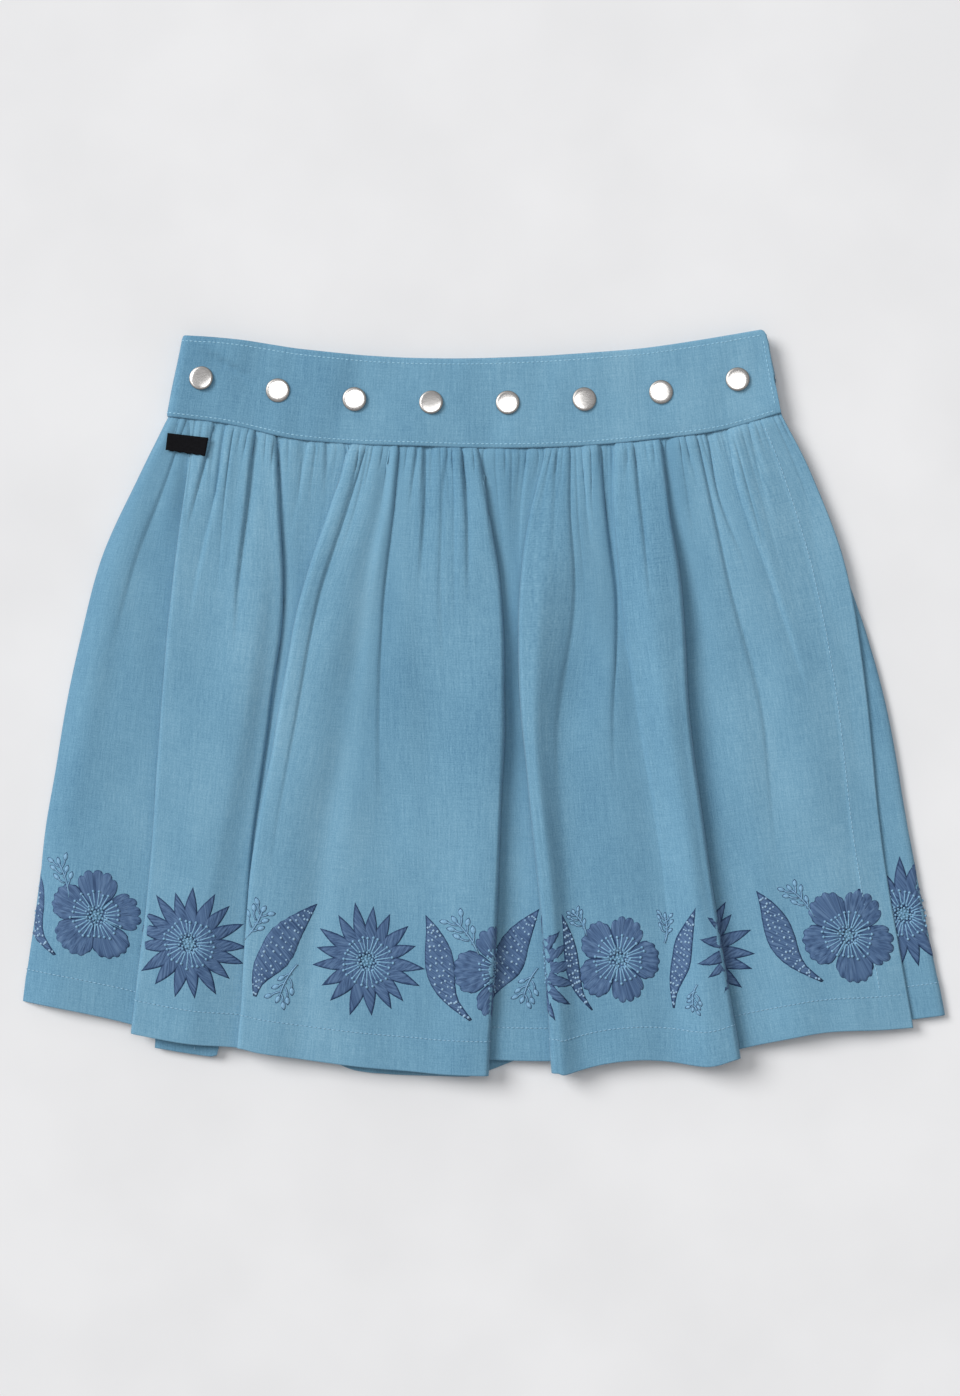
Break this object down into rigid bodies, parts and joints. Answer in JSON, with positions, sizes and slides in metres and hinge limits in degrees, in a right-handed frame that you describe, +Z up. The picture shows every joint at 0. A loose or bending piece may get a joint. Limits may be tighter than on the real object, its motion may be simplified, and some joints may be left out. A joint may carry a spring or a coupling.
{
  "type": "denim wrap skirt",
  "caption": "Light blue denim wrap skirt lying flat and fastened: press-stud waistband, gathered panel folded in soft laps, embroidered flower border above the hem.",
  "frame": {"origin": "middle of the rectangle that the skirt covers, on the surface it lies on", "axes": "+X to the right across the front, +Y from the hem to the waistband, +Z up out of the front, away from the surface"},
  "size_m": [0.5783, 0.4675, 0.0187],
  "materials": {
    "denim": "matte light-blue slub denim",
    "band_denim": "matte light-blue slub denim, pressed",
    "label_cloth": "black woven label, bare",
    "snap_steel": "polished press studs"
  },
  "bodies": {
    "root": {"front_panel": "denim", "under_panel": "denim", "back_panel": "denim", "waistband": "band_denim", "label": "label_cloth", "snap_cap_1": "snap_steel", "snap_cap_2": "snap_steel", "snap_cap_3": "snap_steel", "snap_cap_4": "snap_steel", "snap_cap_5": "snap_steel", "snap_cap_6": "snap_steel", "snap_cap_7": "snap_steel", "snap_cap_8": "snap_steel", "snap_stud_1": "snap_steel", "snap_stud_2": "snap_steel", "snap_stud_3": "snap_steel", "snap_stud_4": "snap_steel", "snap_stud_5": "snap_steel", "snap_stud_6": "snap_steel", "snap_stud_7": "snap_steel", "snap_stud_8": "snap_steel"}
  },
  "joints": []
}
